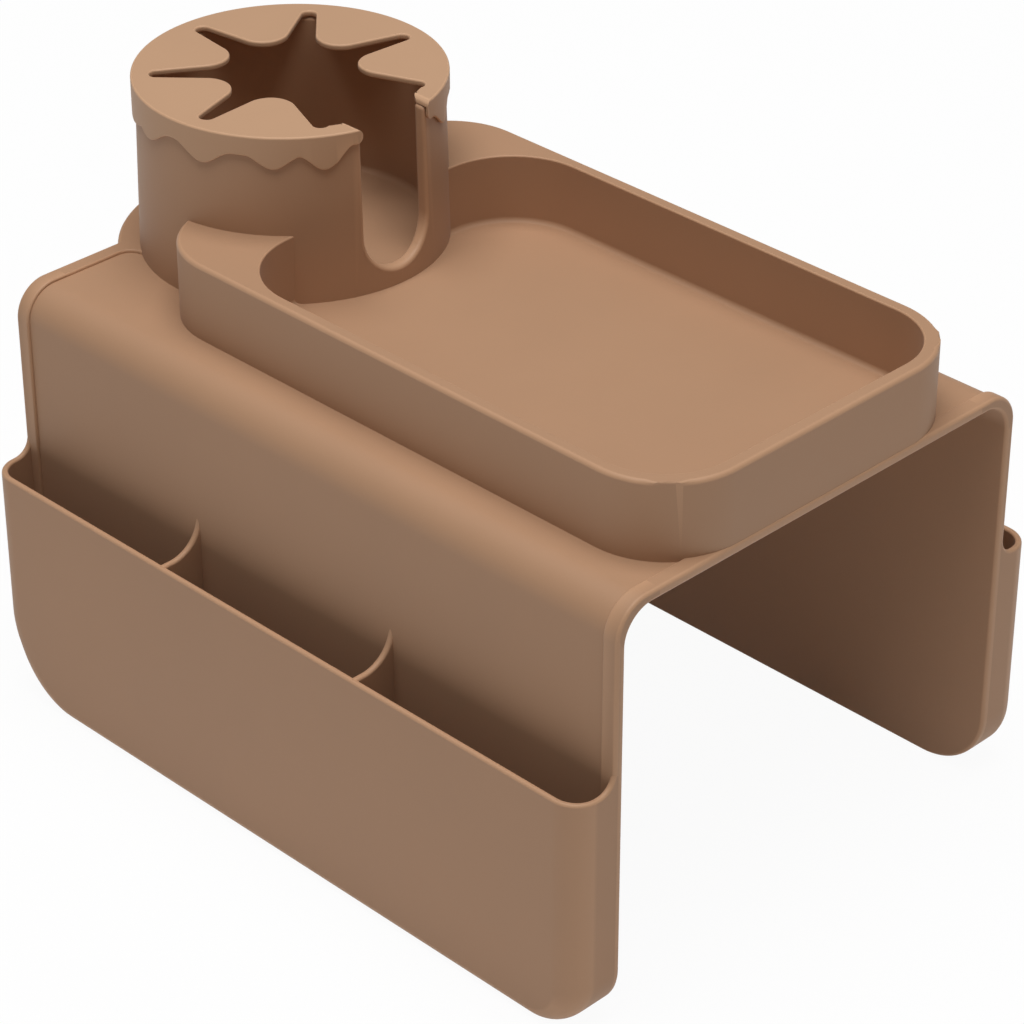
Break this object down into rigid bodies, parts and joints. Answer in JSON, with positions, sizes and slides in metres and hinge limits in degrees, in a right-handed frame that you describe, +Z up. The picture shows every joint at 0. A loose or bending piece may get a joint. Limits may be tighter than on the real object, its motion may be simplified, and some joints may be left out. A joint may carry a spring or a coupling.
{
  "type": "sofa arm tray",
  "caption": "Silicone tray that saddles a sofa arm, with a walled tray and slotted cup holder under a star collar on top and pockets down both sides.",
  "frame": {"origin": "middle of the footprint, at the height of the flaps' lower edges", "axes": "+X along the sofa's arm towards the tray's front end, +Y across the arm towards the undivided pocket, +Z up"},
  "size_m": [0.324, 0.233, 0.2308],
  "materials": {
    "silicone": "matte"
  },
  "bodies": {
    "saddle": {"deck": "silicone", "near_shoulder": "silicone", "far_shoulder": "silicone", "tray": "silicone", "cup_barrel": "silicone"},
    "near_side": {"near_flap": "silicone", "near_pocket": "silicone", "rear_divider": "silicone", "front_divider": "silicone"},
    "far_side": {"far_flap": "silicone", "far_pocket": "silicone"},
    "collar": {"star_collar": "silicone"},
    "star_finger_1": {"finger_1": "silicone"},
    "star_finger_2": {"finger_2": "silicone"},
    "star_finger_3": {"finger_3": "silicone"},
    "star_finger_4": {"finger_4": "silicone"},
    "star_finger_5": {"finger_5": "silicone"},
    "star_finger_6": {"finger_6": "silicone"}
  },
  "joints": [
    {"name": "near_flap_bend", "type": "hinge", "parent": "saddle", "child": "near_side", "pos_m": [0, -0.09282, 0.15782], "axis": [-1, 0, 0], "range_deg": [-8, 60], "stiffness_Nm_per_rad": 4, "deforming": ["near_shoulder"]},
    {"name": "far_flap_bend", "type": "hinge", "parent": "saddle", "child": "far_side", "pos_m": [0, 0.09282, 0.15782], "axis": [1, 0, 0], "range_deg": [-8, 60], "stiffness_Nm_per_rad": 4, "deforming": ["far_shoulder"]},
    {"name": "collar_lift", "type": "slide", "parent": "saddle", "child": "collar", "axis": [0, 0, 1], "range_m": [0, 0.04]},
    {"name": "finger_1_bend", "type": "hinge", "parent": "collar", "child": "star_finger_1", "pos_m": [-0.07127, 0.03504, 0.2284], "axis": [0.8116, -0.5842, 0], "range_deg": [0, 70], "stiffness_Nm_per_rad": 0.012},
    {"name": "finger_2_bend", "type": "hinge", "parent": "collar", "child": "star_finger_2", "pos_m": [-0.10735, 0.04179, 0.2284], "axis": [0.9679, 0.2512, 0], "range_deg": [0, 70], "stiffness_Nm_per_rad": 0.012},
    {"name": "finger_3_bend", "type": "hinge", "parent": "collar", "child": "star_finger_3", "pos_m": [-0.13559, 0.01835, 0.2284], "axis": [0.425, 0.9052, 0], "range_deg": [0, 70], "stiffness_Nm_per_rad": 0.012},
    {"name": "finger_4_bend", "type": "hinge", "parent": "collar", "child": "star_finger_4", "pos_m": [-0.13559, -0.01835, 0.2284], "axis": [-0.425, 0.9052, 0], "range_deg": [0, 70], "stiffness_Nm_per_rad": 0.012},
    {"name": "finger_5_bend", "type": "hinge", "parent": "collar", "child": "star_finger_5", "pos_m": [-0.10735, -0.04179, 0.2284], "axis": [-0.9679, 0.2512, 0], "range_deg": [0, 70], "stiffness_Nm_per_rad": 0.012},
    {"name": "finger_6_bend", "type": "hinge", "parent": "collar", "child": "star_finger_6", "pos_m": [-0.07127, -0.03504, 0.2284], "axis": [-0.8116, -0.5842, 0], "range_deg": [0, 70], "stiffness_Nm_per_rad": 0.012}
  ]
}
